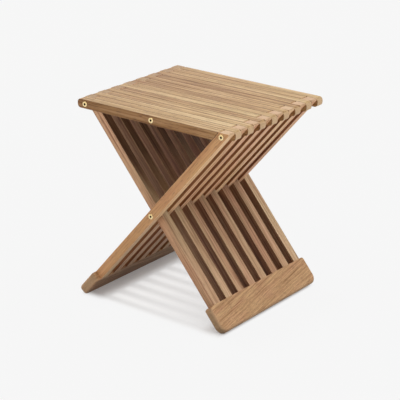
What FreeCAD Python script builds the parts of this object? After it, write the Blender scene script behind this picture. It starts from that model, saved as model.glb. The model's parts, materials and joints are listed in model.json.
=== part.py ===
# Slatted folding stool: two crossed leg frames carry a seat in two interleaved sets of slats.
# Millimetres. X runs along the seat slats, Y across them and Z up.
# The origin lies on the floor under the middle of the stool.
import FreeCAD, Part
import math
import os

from FreeCAD import Vector

# Seat sizes
seat_height = 450.0         # floor to the top of the seat
seat_rod_span = 362.0       # between the two rods that carry the seat
seat_overhang = 20.5        # from a seat rod to the free end of its slats
seat_slat_depth = 20.0      # height of one seat slat
seat_end_radius = 8.0       # corners of a free end
slant_corner_radius = 1.5   # corners of the end that is cut to the slope of the legs
slant_gap = 0.8             # between that end and the leg that stops it
seat_easing = 1.0           # rounding of a seat slat's long edges

# Sizes shared by all slats
slats_per_set = 8           # leg slats in one frame, and seat slats on one rod
slat_thickness = 21.2
slat_gap = 0.3              # between neighbours in the stack
easing_share = 0.8          # most of a corner's radius that an easing may take

# Leg sizes
crossing_height = 226.0     # floor to the rod where the two frames cross
leg_width = 20.8
leg_easing = 0.5            # rounding of a leg slat's long edges
leg_back_radius = 2.0       # upper corner of a leg, beside the seat slat
leg_nose_radius = 3.0       # upper corner of a leg, at the end of the seat
tenon_thickness = 8.0
tenon_length = 28.0
tenon_shoulder = 3.0        # step at each side of a tenon
tenon_clearance = 0.1       # room for glue at the sides
tenon_end_clearance = 0.6   # room for glue at the end

# Foot sizes
foot_height = 63.0          # along the slope of the legs
foot_overhang = 17.0        # past the outer leg slat, at each end
foot_upper_radius = 12.0    # corners beside the leg slats
foot_lower_radius = 18.0    # corners at the floor
foot_easing = 6.0           # rounding of the ends and of the lower edge
foot_flat_depth = 1.0       # cut off the lower edge, level with the floor

# Rod and sleeve nut sizes
rod_diameter = 6.0
rod_clearance = 0.1         # radial, in the slats
rod_grip = 8.0              # length of rod inside a nut
thread_clearance = 0.05     # radial, in a nut
nut_barrel_diameter = 8.0
nut_barrel_length = 14.0
nut_barrel_clearance = 0.15
nut_head_diameter = 12.0
nut_head_thickness = 2.0
nut_head_sunk = 1.3         # depth of the head in the outer slat
nut_head_clearance = 0.25
nut_head_easing = 0.6
nut_socket_width = 5.0      # across the flats of the hexagon
nut_socket_depth = 4.5

# Places worked out from the sizes
rod_height = seat_height - seat_slat_depth / 2
half_span = seat_rod_span / 2
slope = math.atan2(rod_height - crossing_height, half_span)
slope_cos = math.cos(slope)
slope_sin = math.sin(slope)
layers = 2 * slats_per_set
layer_pitch = slat_thickness + slat_gap
stack_width = layers * layer_pitch - slat_gap
stack_front = -stack_width / 2

# The foot's lower edge is rounded and then cut off level with the floor, which leaves a flat to stand on.
foot_rounding = min(foot_easing, easing_share * foot_lower_radius, easing_share * leg_width / 2)
corner_below_floor = foot_rounding * (slope_sin + slope_cos - 1) + foot_flat_depth
leg_reach = (crossing_height - leg_width / 2 * slope_cos + corner_below_floor) / slope_sin
shoulder_reach = leg_reach - foot_height

front = Vector(0, -1, 0)
back = Vector(0, 1, 0)
up = Vector(0, 0, 1)
along_leg = Vector(slope_cos, 0, slope_sin)
across_leg = Vector(-slope_sin, 0, slope_cos)
crossing = Vector(0, 0, crossing_height)
left_rod_place = Vector(-half_span, 0, rod_height)
right_rod_place = Vector(half_span, 0, rod_height)
centre_rod_place = Vector(0, 0, rod_height)


def layer_front(layer):
    """Y of the front face of one layer of the stack, counted from 0 at the front."""
    return stack_front + layer * layer_pitch


def leg_point(reach, offset):
    """Point in a left leg's side view, up from the crossing and towards the seat's middle."""
    return crossing + along_leg * reach + across_leg * offset


def leg_point_at_height(height, offset):
    """Point at a given height on a line that runs along a left leg."""
    reach = (height - crossing_height - offset * slope_cos) / slope_sin
    return leg_point(reach, offset)


def rounded_outline(corners):
    """Closed wire through (point, radius) corners, with an arc at each radius over zero."""
    edges = []
    starts = []
    ends = []
    for index, (point, radius) in enumerate(corners):
        to_last = (corners[index - 1][0] - point).normalize()
        to_next = (corners[(index + 1) % len(corners)][0] - point).normalize()
        if radius == 0:
            starts.append(point)
            ends.append(point)
            continue
        half_angle = to_last.getAngle(to_next) / 2
        setback = radius / math.tan(half_angle)
        starts.append(point + to_last * setback)
        ends.append(point + to_next * setback)
        inward = (to_last + to_next).normalize()
        middle = point + inward * (radius / math.sin(half_angle) - radius)
        edges.append(Part.Arc(starts[-1], middle, ends[-1]).toShape())
    for index, start in enumerate(starts):
        edges.append(Part.LineSegment(ends[index - 1], start).toShape())
    return Part.Wire(Part.__sortEdges__(edges))


def eased(solid, thickness_axis, radius, sharp_edge=None):
    """Round the outline edges of a board's two faces, apart from those that sharp_edge names."""
    outline = []
    for edge in solid.Edges:
        ends = [vertex.Point for vertex in edge.Vertexes]
        across_thickness = abs((ends[-1] - ends[0]).dot(thickness_axis)) > radius
        if not across_thickness and not (sharp_edge and sharp_edge(ends)):
            outline.append(edge)
    return solid.makeFillet(radius, outline)


def board(corners, layer):
    """Slat with the given side view, in one layer of the stack."""
    solid = Part.Face(rounded_outline(corners)).extrude(back * slat_thickness)
    solid.translate(back * layer_front(layer))
    return solid


def rod_space(place):
    """Room in the slats for one rod and the two sleeve nuts on it."""
    radius = rod_diameter / 2 + rod_clearance
    through = Part.makeCylinder(radius, stack_width, place + back * stack_front, back)
    spaces = []
    for face, inward in ((stack_front, back), (-stack_front, front)):
        start = place + back * face
        barrel_depth = nut_head_sunk + nut_barrel_length
        barrel_radius = nut_barrel_diameter / 2 + nut_barrel_clearance
        head_radius = nut_head_diameter / 2 + nut_head_clearance
        spaces.append(Part.makeCylinder(barrel_radius, barrel_depth, start, inward))
        spaces.append(Part.makeCylinder(head_radius, nut_head_sunk, start, inward))
    return through.multiFuse(spaces)


def tenon_block(layer, clearance, length):
    """Tenon of the left leg slat in one layer, or its mortise when given a clearance."""
    width = slat_thickness - 2 * tenon_shoulder + 2 * clearance
    thickness = tenon_thickness + 2 * clearance
    corner = leg_point(-shoulder_reach, -thickness / 2)
    corner.y = layer_front(layer) + tenon_shoulder - clearance
    side = [corner, corner + across_leg * thickness, corner + across_leg * thickness + back * width,
            corner + back * width, corner]
    return Part.Face(Part.makePolygon(side)).extrude(along_leg * -length)


def leg_slat(layer):
    """One slat of the left leg frame: foot at the left, top end at the right seat rod."""
    half = leg_width / 2
    corners = [
        (leg_point(-shoulder_reach, half), 0),
        (leg_point_at_height(seat_height, half), leg_back_radius),
        (leg_point_at_height(seat_height, -half), leg_nose_radius),
        (leg_point(-shoulder_reach, -half), 0),
    ]

    def on_shoulder(ends):
        return all(abs((end - crossing).dot(along_leg) + shoulder_reach) < leg_easing for end in ends)

    easing = min(leg_easing, easing_share * leg_back_radius, easing_share * leg_nose_radius)
    slat = eased(board(corners, layer), back, easing, on_shoulder)
    slat = slat.fuse(tenon_block(layer, 0, tenon_length))
    return slat.cut(rod_space(crossing)).cut(rod_space(right_rod_place))


def seat_slat(layer):
    """One seat slat on the left seat rod, cut at its right end to the slope of the leg there."""
    bottom = seat_height - seat_slat_depth
    end = -half_span - seat_overhang
    stop_offset = leg_width / 2 + slant_gap
    corners = [
        (Vector(end, 0, bottom), seat_end_radius),
        (leg_point_at_height(bottom, stop_offset), slant_corner_radius),
        (leg_point_at_height(seat_height, stop_offset), slant_corner_radius),
        (Vector(end, 0, seat_height), seat_end_radius),
    ]
    easing = min(seat_easing, easing_share * seat_end_radius, easing_share * slant_corner_radius)
    slat = eased(board(corners, layer), back, easing)
    return slat.cut(rod_space(left_rod_place)).cut(rod_space(centre_rod_place))


def foot_outline(upper_radius, first, last):
    """Outline of the left foot board on its lower face, between two ends."""
    corners = []
    for reach, side, radius in (
        (shoulder_reach, first, upper_radius),
        (shoulder_reach, last, upper_radius),
        (leg_reach, last, foot_lower_radius),
        (leg_reach, first, foot_lower_radius),
    ):
        corner = leg_point(-reach, -leg_width / 2)
        corner.y = side
        corners.append((corner, radius))
    return Part.Face(rounded_outline(corners))


def foot():
    """Left foot board, flush with its leg slats, with a mortise for each tenon."""
    first = layer_front(0) - foot_overhang
    last = layer_front(layers - 2) + slat_thickness + foot_overhang

    def beside_slats(ends):
        return all(abs((end - crossing).dot(along_leg) + shoulder_reach) < foot_rounding for end in ends)

    solid = foot_outline(0, first, last).extrude(across_leg * leg_width)
    solid = eased(solid, across_leg, foot_rounding, beside_slats)
    solid = solid.common(foot_outline(foot_upper_radius, first, last).extrude(across_leg * leg_width))
    box = solid.BoundBox
    floor = Part.makeBox(box.XLength, box.YLength, -box.ZMin, Vector(box.XMin, box.YMin, box.ZMin))
    mortise_length = tenon_length + tenon_end_clearance
    mortises = [tenon_block(layer, tenon_clearance, mortise_length) for layer in range(0, layers, 2)]
    return solid.cut([floor] + mortises)


def rod(place):
    """Rod through the whole stack, ending inside its two sleeve nuts."""
    inset = nut_head_sunk + nut_barrel_length - rod_grip
    length = stack_width - 2 * inset
    return Part.makeCylinder(rod_diameter / 2, length, place + back * (stack_front + inset), back)


def front_nut(place):
    """Sleeve nut at the front end of a rod: sunk head, hexagon socket and threaded barrel."""
    face = place + back * (stack_front + nut_head_sunk - nut_head_thickness)
    head = Part.makeCylinder(nut_head_diameter / 2, nut_head_thickness, face, back)
    rim = [edge for edge in head.Edges if edge.BoundBox.YMax < face.y + nut_head_easing]
    head = head.makeFillet(nut_head_easing, rim)
    barrel_start = face + back * nut_head_thickness
    barrel = Part.makeCylinder(nut_barrel_diameter / 2, nut_barrel_length, barrel_start, back)
    bore_start = barrel_start + back * (nut_barrel_length - rod_grip)
    bore = Part.makeCylinder(rod_diameter / 2 + thread_clearance, rod_grip, bore_start, back)
    socket_radius = nut_socket_width / 2 / math.cos(math.pi / 6)
    hexagon = []
    for corner in range(7):
        turn = corner * math.pi / 3
        hexagon.append(face + Vector(math.cos(turn), 0, math.sin(turn)) * socket_radius)
    socket = Part.Face(Part.makePolygon(hexagon)).extrude(back * nut_socket_depth)
    return head.fuse(barrel).removeSplitter().cut([bore, socket])


def turned(shape):
    """The same piece on the other side of the stool, half a turn about the vertical."""
    copy = shape.copy()
    copy.rotate(Vector(0, 0, 0), up, 180)
    return copy


def turned_place(place):
    """Where a place goes in half a turn about the vertical."""
    return Vector(-place.x, -place.y, place.z)


def nut_pair(place):
    """The two sleeve nuts on one rod, as separate solids."""
    return Part.Compound([front_nut(place), turned(front_nut(turned_place(place)))])


def centre_pins(first_layer):
    """Lengths of the centre rod that turn with the seat slats of every second layer."""
    whole = rod(centre_rod_place)
    pins = []
    for layer in range(first_layer, layers, 2):
        corner = Vector(-rod_diameter, layer_front(layer), rod_height - rod_diameter)
        slab = Part.makeBox(2 * rod_diameter, slat_thickness, 2 * rod_diameter, corner)
        pins.append(whole.common(slab))
    return Part.Compound([solid for pin in pins for solid in pin.Solids])


nodes = {}
for number in range(1, slats_per_set + 1):
    left_layer = 2 * (number - 1)
    opposite = slats_per_set + 1 - number
    leg = leg_slat(left_layer)
    seat = seat_slat(left_layer)
    nodes[f"left_leg_slat_{number}"] = leg
    nodes[f"right_leg_slat_{opposite}"] = turned(leg)
    nodes[f"left_seat_slat_{number}"] = seat
    nodes[f"right_seat_slat_{opposite}"] = turned(seat)
nodes["left_foot"] = foot()
nodes["right_foot"] = turned(nodes["left_foot"])
nodes["cross_rod"] = rod(crossing)
nodes["left_seat_rod"] = rod(left_rod_place)
nodes["right_seat_rod"] = rod(right_rod_place)
nodes["cross_rod_nuts"] = nut_pair(crossing)
nodes["left_seat_rod_nuts"] = nut_pair(left_rod_place)
nodes["right_seat_rod_nuts"] = nut_pair(right_rod_place)
nodes["centre_rod_left_pins"] = centre_pins(0)
nodes["centre_rod_right_pins"] = centre_pins(1)
nodes["centre_rod_front_nut"] = front_nut(centre_rod_place)
nodes["centre_rod_back_nut"] = turned(front_nut(centre_rod_place))

os.makedirs("parts", exist_ok=True)
for name, shape in nodes.items():
    shape.exportStep(f"parts/{name}.step")
    state = "valid" if shape.isValid() else "INVALID"
    print(name, len(shape.Solids), "solids", round(shape.Volume), "mm3", state)
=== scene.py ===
"""Looks of the slatted folding stool: teak boards, brass sleeve nuts, steel rods and a pale studio."""
import json
import math

import bmesh
import bpy
from mathutils import Euler, Matrix, Vector


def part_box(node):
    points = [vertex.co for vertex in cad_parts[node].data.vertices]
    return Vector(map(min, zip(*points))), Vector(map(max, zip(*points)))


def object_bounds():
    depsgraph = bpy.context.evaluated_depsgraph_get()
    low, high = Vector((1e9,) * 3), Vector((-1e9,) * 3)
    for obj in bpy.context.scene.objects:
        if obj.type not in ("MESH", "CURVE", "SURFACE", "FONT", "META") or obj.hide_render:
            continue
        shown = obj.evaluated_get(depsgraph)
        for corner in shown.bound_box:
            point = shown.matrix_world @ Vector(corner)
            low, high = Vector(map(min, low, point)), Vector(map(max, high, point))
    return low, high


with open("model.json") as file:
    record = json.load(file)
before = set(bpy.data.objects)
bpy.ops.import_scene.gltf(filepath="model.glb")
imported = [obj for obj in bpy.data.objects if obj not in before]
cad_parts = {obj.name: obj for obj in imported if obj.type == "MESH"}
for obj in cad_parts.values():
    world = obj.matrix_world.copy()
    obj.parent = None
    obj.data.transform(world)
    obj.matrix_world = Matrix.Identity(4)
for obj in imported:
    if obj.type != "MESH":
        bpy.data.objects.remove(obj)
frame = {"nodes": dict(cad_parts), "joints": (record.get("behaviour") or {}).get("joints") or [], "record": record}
cad_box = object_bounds()

MM = 0.001
BLACK = (0, 0, 0, 1)
WHITE = (1, 1, 1, 1)
SOFT = 1.0      # detail of a noise with no fine marks
CRISP = 2.0     # and of one with some

# The viewpoint, in degrees and metres, and the lens on a square frame
view_azimuth = 36.886
view_elevation = 20.60
view_roll = 0.705
view_distance = 3.4357
view_aim = Vector((-0.0276, 0.0384, 0.1958))
sensor_width = 36.0
lens_length = 137.95

# Studio: the floor and the background are the same pale grey
backdrop_colour = "#f6f6f6"
floor_half_width = 20.0
room_light = 0.02           # light from all round: how bright it alone makes a white surface, from 0 to 1
shadow_beside_feet = 0.88   # how much of the stool's shadow the floor shows beside the feet
shadow_midway = 0.5         # between them
shadow_outside = 0.04       # and all round
shadow_past_feet = 0.014    # how far the shadow reaches past the line where the feet stand
shadow_fade_beside = 0.012  # over which length it ends there
shadow_fade_ends = 0.03     # and before the ends of the feet
foot_shadow_start = 0.058   # where the shadow of a foot ends, measured in from its line
foot_shadow_full = 0.025    # and where it is full
floor_light = 0.24          # glow that the floor gives off towards the stool: painted light standing in for its bounce
bounce_under_stool = 0.5    # share of that glow where the stool's shadow lies on the floor
front_card_light = (0.85, 0.10)     # glow of a patch of floor before the stool, standing in for a white card, at the left and at the right
front_card_edge = (0.19, 0.21)      # how far out that patch starts, and where it is full
right_card_light = 1.00             # glow of a patch at the right, standing in for a white card
right_card_edge = (0.20, 0.30)

# Soft boxes: name, light on a surface that faces them, azimuth, elevation and width in degrees.
# Azimuth 0 is at the front and 90 at the right.
stool_lamps = (
    ("right_key", 0.56, 102, 62, 50),
    ("overhead", 0.20, 90, 88, 50),
    ("left_key", 0.25, -92, 50, 8),
    ("front_fill", 0.43, -17, 10, 50),
    ("back_fill", 0.16, 225, 25, 50),
)
# Those on the floor also name the pieces that throw a shadow in their light.
floor_lamps = (
    ("left_key_on_floor", 0.27, -92, 77, 9, ("left_leg", "left_foot")),
    ("sky_on_floor", 0.80, 90, 90, 150, ("left_foot", "right_foot")),
)

# The stack of slats and the pivots, read from the frame
stack_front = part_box("left_leg_slat_1")[0].y
slat_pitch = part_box("right_leg_slat_1")[0].y - stack_front
slat_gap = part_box("right_leg_slat_1")[0].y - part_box("left_leg_slat_1")[1].y
slats_per_set = sum(name.startswith("left_leg_slat") for name in frame["nodes"])
nut_face = -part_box("centre_rod_front_nut")[0].y
seat_low, seat_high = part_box("left_seat_slat_1")
pivots = {joint["name"]: Vector(joint["pos_m"]) for joint in frame["joints"]}
crossing = pivots["fold"]
seat_middle = Vector((0, 0, pivots["right_seat_hinge"].z))
leg_line = pivots["right_seat_hinge"] - crossing
leg_slope = math.atan2(leg_line.z, leg_line.x)

# Teak's figure
growth_ring = 4.5 * MM      # one year's growth
fibre_width = 1.1 * MM      # drawn far coarser than real fibres, so that they show
fibre_length = 45 * MM
streak_width = 3.5 * MM     # dark lines along the grain
streak_length = 110 * MM
band_width = 9 * MM         # soft bands of darker and paler wood
band_length = 240 * MM
pore_width = 1.3 * MM       # drawn about four times as coarse as real pores, so that they show
pore_length = 20 * MM
hue_width = 24 * MM         # slow change from rosy to straw-coloured
hue_length = 120 * MM
grain_bend = 9 * MM         # how far the rings wander sideways
grain_bend_width = 80 * MM
grain_bend_length = 240 * MM
heart_distance = 55 * MM    # from the middle of a board to the middle of its tree
board_shift = Vector((1.9, 0.09, 0.05))     # most that two boards lie apart in their tree, in metres
foot_grain_tilt = math.radians(9)           # the feet are cut a little across the grain

# What makes teak deep or pale, as shares of one, and where the figure has each tone
ring_share = 0.24
band_share = 0.22
streak_share = 0.36
fibre_share = 0.18
board_share = 0.12          # one board against another
deep_at, middling_at, pale_at = 0.38, 0.50, 0.62
rosy_at, straw_at = 0.34, 0.66
board_hue_share = 0.35      # the hue that a whole board has, against its patches
pore_softness = 0.08
pore_colour = "#5d3f2a"
pore_sink = 0.5             # how deep pores are against the rest of the relief
relief_strength = 0.5
relief_height = 0.25 * MM
teak_roughness = (0.42, 0.64)
teak_ior = 1.5
teak_gloss = 0.25           # oiled wood shines less than lacquer

# Where a surface counts as cut end, side, upper face or long edge: the cosine of its angle, from none to all
end_facing = (0.5, 0.75)
end_strength = 0.75
side_facing = (0.55, 0.9)
upper_facing = (0.3, 0.5)
edge_facing = (0.08, 0.4, 0.88, 0.99)       # starts, is full, is full still, and ends
under_seat_shade_start = 110 * MM                    # how far above the crossing the painted shade under the seat is full

# Finishes of the boards: three tones from deep to pale, a rosy and a straw-coloured hue, where pores start
# and how dark they are, the colour of the cut ends, and the colour and strength of the long edges, which on
# the seat paint the shade in the grooves between slats. Some also have tints: a painted sheen that leaves the
# seat darker towards its left end, painted shade on upper faces under the seat, and tints on the inner and
# the outermost sides of a set, which on the legs paint the shade between slats.
seat_teak = {
    "tones": ("#8c6639", "#bd9e70", "#dac09b"),
    "hues": ("#fff7f0", "#fcfaee"),
    "pores": (0.60, 0.6),
    "end": "#cfae88",
    # Dark edges: painted shade in the grooves between seat slats
    "edge": ("#5a3d28", 0.8),
    # Painted sheen along the seat, darker at its left end
    "painted_sheen_along_seat": ("#e4d8d0", "#ffffff"),
    "sides": ("#d2bfae", "#d2bfae"),
}
left_leg_teak = {
    # Tones partly painted light: paler than the right legs', standing in for the light on their undersides
    "tones": ("#a17654", "#dcb28e", "#f2d0ae"),
    "hues": ("#fff0ea", "#fbf8e6"),
    "pores": (0.62, 0.4),
    "end": "#c3a380",
    "edge": ("#d9b896", 0.4),
    # Painted shade on upper faces under the seat
    "painted_shade_under_seat": "#cdc3bd",
    # Side tints: painted shade on the inner sides between slats
    "sides": ("#b5977d", "#d6c2ae"),
}
right_leg_teak = {
    "tones": ("#8f694e", "#c09e7e", "#d8bd9c"),
    "hues": ("#ffeeea", "#fcfaf0"),
    "pores": (0.62, 0.4),
    "end": "#9a7a54",
    "edge": ("#d8bd9c", 0.5),
    # Painted shade on upper faces under the seat
    "painted_shade_under_seat": "#9a8f8a",
    # Side tints: painted shade on the inner sides between slats
    "sides": ("#c0ab9e", "#f8eee8"),
}
foot_teak = {
    "tones": ("#8b6645", "#b6916f", "#d0af8b"),
    "hues": ("#ffe8e4", "#fff6e6"),
    "pores": (0.57, 0.45),
    "end": "#9e8060",
    "edge": ("#c09a76", 0.4),
}
slat_fineness = 1.0
foot_fineness = 1.8         # the feet are of finer-grained wood


def linear(hex_colour):
    """sRGB hex value as the linear colour that a shader socket takes."""
    channels = [int(hex_colour[start:start + 2], 16) / 255 for start in (1, 3, 5)]
    lit = [c / 12.92 if c <= 0.04045 else ((c + 0.055) / 1.055) ** 2.4 for c in channels]
    return (*lit, 1.0)


def add(tree, kind, inputs=None, stops=None, **settings):
    """Add a node with its settings, link or set its inputs, and place a ramp's colours."""
    node = tree.nodes.new(kind)
    for name, value in settings.items():
        setattr(node, name, value)
    for socket, value in (inputs or {}).items():
        if isinstance(value, bpy.types.NodeSocket):
            tree.links.new(value, node.inputs[socket])
        else:
            node.inputs[socket].default_value = value
    if stops:
        elements = node.color_ramp.elements
        while len(elements) < len(stops):
            elements.new(1.0)
        for element, (position, colour) in zip(elements, stops):
            element.position = position
            element.color = colour
    return node


def empty_material(name):
    """New material with no nodes, and its node tree."""
    material = bpy.data.materials.new(name)
    material.use_nodes = True
    material.node_tree.nodes.clear()
    return material, material.node_tree


def saw_boards(tree, coords, layer, first_node, grain_turn, stacked, seed):
    """Where each point lay in its tree, whose heart is along X, and the chance by which boards differ."""
    low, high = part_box(first_node)
    middle = Euler(grain_turn).to_matrix() @ ((low + high) / 2)
    heart = Vector((0, heart_distance / 2, heart_distance)) - middle
    laid = add(tree, "ShaderNodeMapping",
               {"Vector": coords.outputs["Object"], "Rotation": grain_turn, "Location": heart})
    number = add(tree, "ShaderNodeCombineXYZ", {"X": seed})
    layer_step = Vector((0, 0, 0))
    if stacked:
        # Every slat of a stack is cut from another place in the tree.
        tree.links.new(layer, number.inputs["Y"])
        layer_step = Vector((0, -slat_pitch, 0))
    chance = add(tree, "ShaderNodeTexWhiteNoise", {"Vector": number.outputs[0]}, noise_dimensions="2D")
    unstacked = add(tree, "ShaderNodeVectorMath",
                    {0: number.outputs[0], 1: layer_step, 2: laid.outputs[0]}, operation="MULTIPLY_ADD")
    board = add(tree, "ShaderNodeVectorMath",
                {0: chance.outputs["Color"], 1: board_shift, 2: unstacked.outputs[0]},
                operation="MULTIPLY_ADD")
    return board.outputs[0], chance.outputs["Value"]


def draw_grain(tree, board, chance, look, fineness):
    """Colour of planed teak, with its relief and its fibres."""
    def along_grain(length, width, detail):
        """Noise drawn out along the grain."""
        scale = Vector((1 / length, 1 / width, 1 / width))
        stretched = add(tree, "ShaderNodeVectorMath", {0: board, 1: scale}, operation="MULTIPLY")
        return add(tree, "ShaderNodeTexNoise",
                   {"Vector": stretched.outputs[0], "Scale": fineness, "Detail": detail})

    # Growth rings lie round the heart of the tree and wander a little.
    wander = along_grain(grain_bend_length, grain_bend_width, SOFT)
    bent = add(tree, "ShaderNodeVectorMath",
               {0: wander.outputs["Color"], 1: Vector((0, grain_bend, grain_bend)), 2: board},
               operation="MULTIPLY_ADD")
    section = add(tree, "ShaderNodeVectorMath", {0: bent.outputs[0], 1: Vector((0, 1, 1))},
                  operation="MULTIPLY")
    radius = add(tree, "ShaderNodeVectorMath", {0: section.outputs[0]}, operation="LENGTH")
    rings = add(tree, "ShaderNodeTexNoise",
                {"W": radius.outputs["Value"], "Scale": 1 / growth_ring, "Detail": CRISP},
                noise_dimensions="1D")
    bands = along_grain(band_length, band_width, SOFT)
    streaks = along_grain(streak_length, streak_width, CRISP)
    fibres = along_grain(fibre_length, fibre_width, CRISP)
    pores = along_grain(pore_length, pore_width, SOFT)
    patches = along_grain(hue_length, hue_width, SOFT)

    # Depth of colour: rings, bands, streaks and fibres together, and one board against another
    depth = add(tree, "ShaderNodeMath", {0: chance, 1: board_share, 2: -board_share / 2},
                operation="MULTIPLY_ADD")
    for figure, share in ((rings, ring_share), (bands, band_share),
                          (streaks, streak_share), (fibres, fibre_share)):
        depth = add(tree, "ShaderNodeMath", {0: figure.outputs[0], 1: share, 2: depth.outputs[0]},
                    operation="MULTIPLY_ADD")
    deep, middling, pale = [linear(tone) for tone in look["tones"]]
    wood = add(tree, "ShaderNodeValToRGB", {"Fac": depth.outputs[0]},
               stops=[(deep_at, deep), (middling_at, middling), (pale_at, pale)])
    rosy, straw = [linear(hue) for hue in look["hues"]]
    hue = add(tree, "ShaderNodeMix", {0: board_hue_share, 2: patches.outputs[0], 3: chance})
    tint = add(tree, "ShaderNodeValToRGB", {"Fac": hue.outputs[0]},
               stops=[(rosy_at, rosy), (straw_at, straw)])
    tinted = add(tree, "ShaderNodeMix", {0: 1.0, 6: wood.outputs["Color"], 7: tint.outputs["Color"]},
                 data_type="RGBA", blend_type="MULTIPLY")

    # Pores are short and dark, and lie a little lower.
    pore_edge, pore_depth = look["pores"]
    pored = add(tree, "ShaderNodeValToRGB", {"Fac": pores.outputs[0]},
                stops=[(pore_edge, BLACK), (pore_edge + pore_softness, WHITE)])
    pore_share = add(tree, "ShaderNodeMath", {0: pored.outputs["Color"], 1: pore_depth},
                     operation="MULTIPLY")
    colour = add(tree, "ShaderNodeMix",
                 {0: pore_share.outputs[0], 6: tinted.outputs[2], 7: linear(pore_colour)}, data_type="RGBA")
    relief = add(tree, "ShaderNodeMath", {0: pored.outputs["Color"], 1: -pore_sink, 2: depth.outputs[0]},
                 operation="MULTIPLY_ADD")
    return colour.outputs[2], relief.outputs[0], fibres.outputs[0]


def colour_ends(tree, colour, normal, grain, end_colour):
    """Cut ends have a colour of their own, which hides most of the figure."""
    endwise = add(tree, "ShaderNodeVectorMath", {0: normal, 1: grain}, operation="DOT_PRODUCT")
    cut_across = add(tree, "ShaderNodeMath", {0: endwise.outputs["Value"]}, operation="ABSOLUTE")
    end_share = add(tree, "ShaderNodeMapRange", {
        "Value": cut_across.outputs[0], "From Min": end_facing[0], "From Max": end_facing[1],
        "To Min": 0.0, "To Max": end_strength})
    cut = add(tree, "ShaderNodeMix", {0: end_share.outputs[0], 6: colour, 7: linear(end_colour)},
              data_type="RGBA")
    return cut.outputs[2]


def paint_sheen_along_seat(tree, colour, place, tints):
    """Painted sheen: the seat is darker and yellower towards its left end and untouched at its right, standing for
    a reflection that grows towards the right.
    """
    left_tint, right_tint = [linear(tint) for tint in tints]
    along = add(tree, "ShaderNodeMapRange", {
        "Value": place.outputs["X"], "From Min": cad_box[0].x, "From Max": cad_box[1].x})
    tint = add(tree, "ShaderNodeMix", {0: along.outputs[0], 6: left_tint, 7: right_tint}, data_type="RGBA")
    with_painted_sheen = add(tree, "ShaderNodeMix", {0: 1.0, 6: colour, 7: tint.outputs[2]},
                data_type="RGBA", blend_type="MULTIPLY")
    return with_painted_sheen.outputs[2]


def paint_shade_under_seat(tree, colour, place, normal, tint):
    """Painted shade: upper faces under the seat, above the crossing, are darkened, fading in from the crossing."""
    facing = add(tree, "ShaderNodeSeparateXYZ", {"Vector": normal})
    upwards = add(tree, "ShaderNodeMapRange", {
        "Value": facing.outputs["Z"], "From Min": upper_facing[0], "From Max": upper_facing[1]})
    under_seat = add(tree, "ShaderNodeValToRGB", {"Fac": place.outputs["Z"]}, stops=[
        (crossing.z, BLACK), (crossing.z + under_seat_shade_start, WHITE), (seat_low.z, WHITE), (seat_high.z, BLACK)])
    share = add(tree, "ShaderNodeMath", {0: upwards.outputs[0], 1: under_seat.outputs["Color"]},
                operation="MULTIPLY")
    shaded = add(tree, "ShaderNodeMix", {0: share.outputs[0], 6: colour, 7: linear(tint)},
                 data_type="RGBA", blend_type="MULTIPLY")
    return shaded.outputs[2]


def tint_sides_with_painted_shade(tree, colour, layer, through, sideways, first_layer, tints):
    """Sides of slats take tints: on the legs, painted shade on the inner sides between slats and a tint of their
    own on the outermost two, which face out; on the seat, one darker tone.
    """
    inner_side_shade_tint, outer_tint = [linear(tint) for tint in tints]
    last_layer = first_layer + 2 * (slats_per_set - 1)
    faces_front = add(tree, "ShaderNodeMath", {0: through, 1: 0.0}, operation="LESS_THAN")
    faces_back = add(tree, "ShaderNodeMath", {0: 1.0, 1: faces_front.outputs[0]}, operation="SUBTRACT")
    # Layers are whole numbers, so half a step tells one from the next.
    half_step = 0.5
    first = add(tree, "ShaderNodeMath", {0: layer, 1: first_layer + half_step}, operation="LESS_THAN")
    last = add(tree, "ShaderNodeMath", {0: layer, 1: last_layer - half_step}, operation="GREATER_THAN")
    at_back = add(tree, "ShaderNodeMath", {0: last.outputs[0], 1: faces_back.outputs[0]},
                  operation="MULTIPLY")
    outermost = add(tree, "ShaderNodeMath",
                    {0: first.outputs[0], 1: faces_front.outputs[0], 2: at_back.outputs[0]},
                    operation="MULTIPLY_ADD")
    tint = add(tree, "ShaderNodeMix", {0: outermost.outputs[0], 6: inner_side_shade_tint, 7: outer_tint},
               data_type="RGBA")
    side = add(tree, "ShaderNodeValToRGB", {"Fac": sideways},
               stops=[(side_facing[0], BLACK), (side_facing[1], WHITE)])
    sided = add(tree, "ShaderNodeMix", {0: side.outputs["Color"], 6: colour, 7: tint.outputs[2]},
                data_type="RGBA", blend_type="MULTIPLY")
    return sided.outputs[2]


def tint_edges_wear_and_groove_shade(tree, colour, sideways, edge):
    """Long edges have their own colour: worn pale on legs and feet, and dark on the seat, which paints the shade
    in the grooves between its slats.
    """
    edge_colour, edge_strength = edge
    on_edge = add(tree, "ShaderNodeValToRGB", {"Fac": sideways},
                  stops=list(zip(edge_facing, (BLACK, WHITE, WHITE, BLACK))))
    share = add(tree, "ShaderNodeMath", {0: on_edge.outputs["Color"], 1: edge_strength},
                operation="MULTIPLY")
    edged = add(tree, "ShaderNodeMix", {0: share.outputs[0], 6: colour, 7: linear(edge_colour)},
                data_type="RGBA")
    return edged.outputs[2]


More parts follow.
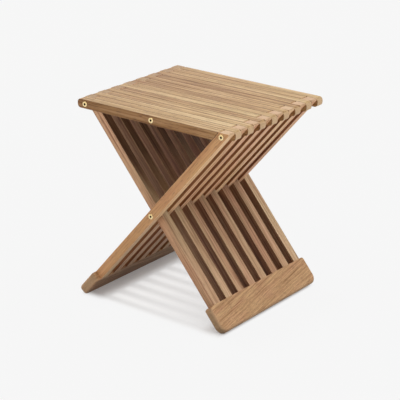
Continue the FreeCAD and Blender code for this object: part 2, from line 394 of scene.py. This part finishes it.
# Teak, sawn, sanded and oiled: warm brown boards with dark lines and soft bands along the grain, short dark
# pores, rosy and straw-coloured patches, plain cut ends and long edges that stand out a little.
def teak(name, first_node, grain_turn, across, look, seed,
         stacked=True, first_layer=0, fineness=slat_fineness):
    """Teak for one set of boards, whose grain lies along X once turned by grain_turn."""
    material, tree = empty_material(name)
    coords = add(tree, "ShaderNodeTexCoord")
    normal = coords.outputs["Normal"]
    place = add(tree, "ShaderNodeSeparateXYZ", {"Vector": coords.outputs["Object"]})
    stack_start = stack_front - slat_gap / 2
    steps = add(tree, "ShaderNodeMath",
                {0: place.outputs["Y"], 1: 1 / slat_pitch, 2: -stack_start / slat_pitch},
                operation="MULTIPLY_ADD")
    layer = add(tree, "ShaderNodeMath", {0: steps.outputs[0]}, operation="FLOOR").outputs[0]
    crosswise = add(tree, "ShaderNodeVectorMath", {0: normal, 1: across}, operation="DOT_PRODUCT")
    through = crosswise.outputs["Value"]
    sideways = add(tree, "ShaderNodeMath", {0: through}, operation="ABSOLUTE").outputs[0]
    grain = Euler(grain_turn).to_matrix().inverted() @ Vector((1, 0, 0))

    board, chance = saw_boards(tree, coords, layer, first_node, grain_turn, stacked, seed)
    colour, relief, fibres = draw_grain(tree, board, chance, look, fineness)
    colour = colour_ends(tree, colour, normal, grain, look["end"])
    # Painted sheen along the seat
    if "painted_sheen_along_seat" in look:
        colour = paint_sheen_along_seat(tree, colour, place, look["painted_sheen_along_seat"])
    # Painted shade on upper faces under the seat
    if "painted_shade_under_seat" in look:
        colour = paint_shade_under_seat(tree, colour, place, normal, look["painted_shade_under_seat"])
    # Side tints: painted shade between leg slats, a darker tone on the seat's sides
    if "sides" in look:
        colour = tint_sides_with_painted_shade(tree, colour, layer, through, sideways, first_layer, look["sides"])
    # Edge tint: pale wear on legs and feet, painted shade in the seat's grooves
    colour = tint_edges_wear_and_groove_shade(tree, colour, sideways, look["edge"])

    smooth, rough = teak_roughness
    roughness = add(tree, "ShaderNodeMath", {0: fibres, 1: rough - smooth, 2: smooth},
                    operation="MULTIPLY_ADD")
    bump = add(tree, "ShaderNodeBump",
               {"Height": relief, "Strength": relief_strength, "Distance": relief_height})
    shader = add(tree, "ShaderNodeBsdfPrincipled", {
        "Base Color": colour, "Roughness": roughness.outputs[0], "Normal": bump.outputs["Normal"],
        "IOR": teak_ior, "Specular IOR Level": teak_gloss})
    add(tree, "ShaderNodeOutputMaterial", {"Surface": shader.outputs[0]})
    return material


# Brass, turned in a lathe: a pale gold face with fine rings from the tool, dull brown in the socket.
def brass(name, rod_place):
    """Brass for the nuts of one rod, with the tool's rings round that rod."""
    tool_ring = 0.45 * MM       # drawn coarser than a real tool's feed, so that it shows
    ring_at_scale_one = 2 * math.pi / 20    # width of a wave texture's ring at a scale of 1
    tool_mark = 0.02 * MM
    tool_mark_strength = 0.3
    patch_size = 3 * MM
    patch_detail = 3.0
    face_colours = {0.35: "#e3c68c", 0.65: "#f8e4b6"}   # low and high in the patches
    socket_colour = "#4a2f0c"
    socket_start = 0.5 * MM     # how far below the face the polish ends
    socket_full = 1.2 * MM      # and where the socket is dull all over
    face_roughness = 0.26
    socket_roughness = 0.86
    material, tree = empty_material(name)
    coords = add(tree, "ShaderNodeTexCoord")
    centred = add(tree, "ShaderNodeMapping",
                  {"Vector": coords.outputs["Object"], "Location": (-rod_place.x, 0, -rod_place.z)})
    turned = add(tree, "ShaderNodeTexWave",
                 {"Vector": centred.outputs[0], "Scale": ring_at_scale_one / tool_ring},
                 wave_type="RINGS", rings_direction="Y")
    patina = add(tree, "ShaderNodeTexNoise",
                 {"Vector": centred.outputs[0], "Scale": 1 / patch_size, "Detail": patch_detail})
    polished = add(tree, "ShaderNodeValToRGB", {"Fac": patina.outputs[0]},
                   stops=[(level, linear(tone)) for level, tone in face_colours.items()])
    place = add(tree, "ShaderNodeSeparateXYZ", {"Vector": coords.outputs["Object"]})
    from_middle = add(tree, "ShaderNodeMath", {0: place.outputs["Y"]}, operation="ABSOLUTE")
    sunk = add(tree, "ShaderNodeMapRange", {
        "Value": from_middle.outputs[0],
        "From Min": nut_face - socket_full, "From Max": nut_face - socket_start,
        "To Min": 1.0, "To Max": 0.0})
    colour = add(tree, "ShaderNodeMix",
                 {0: sunk.outputs[0], 6: polished.outputs["Color"], 7: linear(socket_colour)},
                 data_type="RGBA")
    roughness = add(tree, "ShaderNodeMath",
                    {0: sunk.outputs[0], 1: socket_roughness - face_roughness, 2: face_roughness},
                    operation="MULTIPLY_ADD")
    metallic = add(tree, "ShaderNodeMath", {0: 1.0, 1: sunk.outputs[0]}, operation="SUBTRACT")
    bump = add(tree, "ShaderNodeBump",
               {"Height": turned.outputs["Fac"], "Strength": tool_mark_strength, "Distance": tool_mark})
    shader = add(tree, "ShaderNodeBsdfPrincipled", {
        "Base Color": colour.outputs[2], "Metallic": metallic.outputs[0], "Roughness": roughness.outputs[0],
        "Specular IOR Level": 0.0, "Normal": bump.outputs["Normal"]})
    add(tree, "ShaderNodeOutputMaterial", {"Surface": shader.outputs[0]})
    return material


# Stainless steel, cold drawn: cool grey rod with faint lines along its length from the die.
def drawn_steel(name):
    """Steel for the rods and the pins, with the die's lines along Y."""
    line_width = 0.3 * MM
    line_length = 60 * MM
    line_colours = {0.35: "#a9a8a4", 0.65: "#c9c8c5"}   # low and high in the lines
    smooth, rough = 0.2, 0.4
    material, tree = empty_material(name)
    coords = add(tree, "ShaderNodeTexCoord")
    scale = Vector((1 / line_width, 1 / line_length, 1 / line_width))
    stretched = add(tree, "ShaderNodeVectorMath", {0: coords.outputs["Object"], 1: scale},
                    operation="MULTIPLY")
    lines = add(tree, "ShaderNodeTexNoise", {"Vector": stretched.outputs[0], "Scale": 1.0, "Detail": CRISP})
    colour = add(tree, "ShaderNodeValToRGB", {"Fac": lines.outputs[0]},
                 stops=[(level, linear(tone)) for level, tone in line_colours.items()])
    roughness = add(tree, "ShaderNodeMath", {0: lines.outputs[0], 1: rough - smooth, 2: smooth},
                    operation="MULTIPLY_ADD")
    shader = add(tree, "ShaderNodeBsdfPrincipled", {
        "Base Color": colour.outputs["Color"], "Metallic": 1.0, "Roughness": roughness.outputs[0]})
    add(tree, "ShaderNodeOutputMaterial", {"Surface": shader.outputs[0]})
    return material


def finish_nodes(prefix, material):
    """Give a material to every CAD node whose name starts with prefix."""
    for name, node in frame["nodes"].items():
        if name.startswith(prefix):
            node.data.materials.clear()
            node.data.materials.append(material)


def dress_slats():
    """Teak for the leg slats and the seat slats."""
    through_stack = Vector((0, 1, 0))
    along_seat = (0, 0, 0)
    along_left_leg = (0, leg_slope, 0)
    along_right_leg = (0, -leg_slope, 0)
    finish_nodes("left_leg_slat", teak(
        "teak_left_legs", "left_leg_slat_1", along_left_leg, through_stack, left_leg_teak, seed=1.0))
    finish_nodes("right_leg_slat", teak(
        "teak_right_legs", "right_leg_slat_1", along_right_leg, through_stack, right_leg_teak, seed=2.0,
        first_layer=1))
    seat = teak("teak_seat", "left_seat_slat_1", along_seat, through_stack, seat_teak, seed=3.0)
    finish_nodes("left_seat_slat", seat)
    finish_nodes("right_seat_slat", seat)


def dress_feet():
    """Teak for the foot boards, whose grain lies along the board and slants a little."""
    along_board = Euler((0, 0, -math.pi / 2)).to_matrix()
    for side, lean, seed in (("left", -1, 4.0), ("right", 1, 5.0)):
        across = Vector((lean * math.sin(leg_slope), 0, math.cos(leg_slope)))
        grain_turn = (along_board @ Matrix.Rotation(-foot_grain_tilt, 3, across)).to_euler()
        foot = side + "_foot"
        finish_nodes(foot, teak(
            "teak_" + foot, foot, grain_turn, across, foot_teak, seed,
            stacked=False, fineness=foot_fineness))


def dress_rods():
    """Steel for the rods and pins, and brass for the nuts on their ends."""
    steel = drawn_steel("stainless_steel_drawn")
    for rod in ("cross_rod", "left_seat_rod", "right_seat_rod", "centre_rod"):
        finish_nodes(rod, steel)
    # The nuts' names start as their rods' do, so brass comes after steel.
    for nuts, rod_place in (("cross_rod_nuts", crossing), ("left_seat_rod_nuts", pivots["left_seat_hinge"]),
                            ("right_seat_rod_nuts", pivots["right_seat_hinge"]),
                            ("centre_rod_front_nut", seat_middle), ("centre_rod_back_nut", seat_middle)):
        finish_nodes(nuts, brass("brass_" + nuts, rod_place))


def seen_rays(tree):
    """1 for what the camera sees itself or in metal, 0 for light on its way to the stool."""
    path = add(tree, "ShaderNodeLightPath")
    seen = path.outputs["Is Camera Ray"]
    for kind in ("Is Glossy Ray", "Is Transmission Ray"):
        seen = add(tree, "ShaderNodeMath", {0: seen, 1: path.outputs[kind]}, operation="MAXIMUM").outputs[0]
    return seen


def shadow_zone(tree, place):
    """1 on the floor between the feet, and how much of the stool's shadow the floor shows."""
    foot_line = max(abs(mount["pos_m"][0]) for mount in frame["record"]["mounts"])
    from_middle = {}
    inside = []
    for axis, reach, fade in (("X", foot_line + shadow_past_feet, shadow_fade_beside),
                              ("Y", cad_box[1].y, shadow_fade_ends)):
        from_middle[axis] = add(tree, "ShaderNodeMath", {0: place.outputs[axis]}, operation="ABSOLUTE")
        inside.append(add(tree, "ShaderNodeMapRange", {
            "Value": from_middle[axis].outputs[0], "From Min": reach - fade, "From Max": reach,
            "To Min": 1.0, "To Max": 0.0}, interpolation_type="SMOOTHSTEP").outputs[0])
    under_stool = add(tree, "ShaderNodeMath", {0: inside[0], 1: inside[1]}, operation="MULTIPLY").outputs[0]
    shadow = add(tree, "ShaderNodeMapRange", {
        "Value": from_middle["X"].outputs[0],
        "From Min": foot_line - foot_shadow_start, "From Max": foot_line - foot_shadow_full,
        "To Min": shadow_midway, "To Max": shadow_beside_feet}, interpolation_type="SMOOTHSTEP")
    shown = add(tree, "ShaderNodeMapRange", {
        "Value": under_stool, "To Min": shadow_outside, "To Max": shadow.outputs[0]})
    return under_stool, shown.outputs[0]


def thrown_light(tree, place, under_stool):
    """Painted light: the glow that the floor gives off towards the stool, standing in for what it and two white
    cards would throw up, with less of it under the stool.
    """
    right_card = add(tree, "ShaderNodeMapRange", {
        "Value": place.outputs["X"], "From Min": right_card_edge[0], "From Max": right_card_edge[1],
        "To Min": floor_light, "To Max": floor_light + right_card_light})
    front_card = add(tree, "ShaderNodeMapRange", {
        "Value": place.outputs["Y"], "From Min": -front_card_edge[0], "From Max": -front_card_edge[1]})
    front_light = add(tree, "ShaderNodeMapRange", {
        "Value": place.outputs["X"], "From Min": cad_box[0].x, "From Max": cad_box[1].x,
        "To Min": front_card_light[0], "To Max": front_card_light[1]})
    cards = add(tree, "ShaderNodeMath",
                {0: front_card.outputs[0], 1: front_light.outputs[0], 2: right_card.outputs[0]},
                operation="MULTIPLY_ADD")
    kept = add(tree, "ShaderNodeMapRange",
               {"Value": under_stool, "To Min": 1.0, "To Max": bounce_under_stool})
    thrown = add(tree, "ShaderNodeMath", {0: cards.outputs[0], 1: kept.outputs[0]}, operation="MULTIPLY")
    return thrown.outputs[0]


def lay_floor():
    """Wide pale floor at the height of the feet, which keeps the stool's shadow between them."""
    material, tree = empty_material("pale_floor")
    pale = linear(backdrop_colour)
    coords = add(tree, "ShaderNodeTexCoord")
    place = add(tree, "ShaderNodeSeparateXYZ", {"Vector": coords.outputs["Object"]})
    under_stool, shadow_shown = shadow_zone(tree, place)
    lit = add(tree, "ShaderNodeBsdfDiffuse", {"Color": pale})
    glow = add(tree, "ShaderNodeEmission", {"Color": pale, "Strength": 1.0})
    shown = add(tree, "ShaderNodeMixShader", {0: shadow_shown, 1: glow.outputs[0], 2: lit.outputs[0]})
    # The floor glows towards the stool: painted light from a part that is no lamp.
    floor_glow_on_stool = add(tree, "ShaderNodeEmission",
                 {"Color": pale, "Strength": thrown_light(tree, place, under_stool)})
    mixed = add(tree, "ShaderNodeMixShader", {0: seen_rays(tree), 1: floor_glow_on_stool.outputs[0], 2: shown.outputs[0]})
    add(tree, "ShaderNodeOutputMaterial", {"Surface": mixed.outputs[0]})
    mesh = bpy.data.meshes.new("floor")
    shape = bmesh.new()
    bmesh.ops.create_grid(shape, x_segments=1, y_segments=1, size=floor_half_width)
    shape.to_mesh(mesh)
    shape.free()
    mesh.materials.append(material)
    floor = bpy.data.objects.new("floor", mesh)
    bpy.context.scene.collection.objects.link(floor)
    return floor


def light_room():
    """Even light from all round, which looks like the backdrop to the camera and in the metal."""
    world = bpy.data.worlds.new("room")
    world.use_nodes = True
    tree = world.node_tree
    tree.nodes.clear()
    lit = add(tree, "ShaderNodeBackground", {"Color": WHITE, "Strength": room_light})
    shown = add(tree, "ShaderNodeBackground", {"Color": linear(backdrop_colour), "Strength": 1.0})
    mixed = add(tree, "ShaderNodeMixShader", {0: seen_rays(tree), 1: lit.outputs[0], 2: shown.outputs[0]})
    add(tree, "ShaderNodeOutputWorld", {"Surface": mixed.outputs[0]})
    bpy.context.scene.world = world


def direction(azimuth, elevation):
    """Unit vector from the stool towards a place, from angles in degrees."""
    turn = math.radians(azimuth)
    rise = math.radians(elevation)
    return Vector((math.sin(turn) * math.cos(rise), -math.cos(turn) * math.cos(rise), math.sin(rise)))


def linked_group(name, members, state):
    """Group of objects that a lamp takes in, or leaves out."""
    group = bpy.data.collections.new(name)
    for member in members:
        group.objects.link(member)
    for entry in group.collection_objects:
        entry.light_linking.link_state = state
    return group


def hang_soft_box(lit_group, name, light, azimuth, elevation, width):
    """Far, wide lamp that looks at the stool from one side and lights one group."""
    lamp = bpy.data.lights.new(name, "SUN")
    lamp.energy = math.pi * light
    lamp.angle = math.radians(width)
    lamp_object = bpy.data.objects.new(name, lamp)
    lamp_object.rotation_mode = "QUATERNION"
    lamp_object.rotation_quaternion = (-direction(azimuth, elevation)).to_track_quat("-Z", "Y")
    lamp_object.light_linking.receiver_collection = lit_group
    bpy.context.scene.collection.objects.link(lamp_object)
    return lamp_object


def hang_lamps(floor):
    """Soft boxes for the stool, and others for the floor alone, in which only some pieces throw a shadow."""
    all_but_floor = linked_group("all_but_floor", [floor], "EXCLUDE")
    for lamp in stool_lamps:
        hang_soft_box(all_but_floor, *lamp)
    floor_alone = linked_group("floor_alone", [floor], "INCLUDE")
    for *lamp, casters in floor_lamps:
        lamp_object = hang_soft_box(floor_alone, *lamp)
        pieces = [node for name, node in frame["nodes"].items() if name.startswith(casters)]
        shadows = linked_group("shadows_of_" + lamp_object.name, pieces, "INCLUDE")
        lamp_object.light_linking.blocker_collection = shadows


def set_camera():
    """Camera at the viewpoint, with a long lens."""
    turn = math.radians(view_azimuth)
    roll = math.radians(view_roll)
    back = direction(view_azimuth, view_elevation)
    level = Vector((math.cos(turn), math.sin(turn), 0))
    right = level * math.cos(roll) + back.cross(level) * math.sin(roll)
    up = back.cross(right)
    camera = bpy.data.cameras.new("camera")
    camera.lens = lens_length
    camera.sensor_width = sensor_width
    camera_object = bpy.data.objects.new("camera", camera)
    axes = Matrix((right, up, back)).transposed().to_4x4()
    camera_object.matrix_world = Matrix.Translation(view_aim + back * view_distance) @ axes
    bpy.context.scene.collection.objects.link(camera_object)
    bpy.context.scene.camera = camera_object


dress_slats()
dress_feet()
dress_rods()
floor = lay_floor()
light_room()
hang_lamps(floor)
set_camera()
bpy.context.scene.view_settings.view_transform = "Standard"
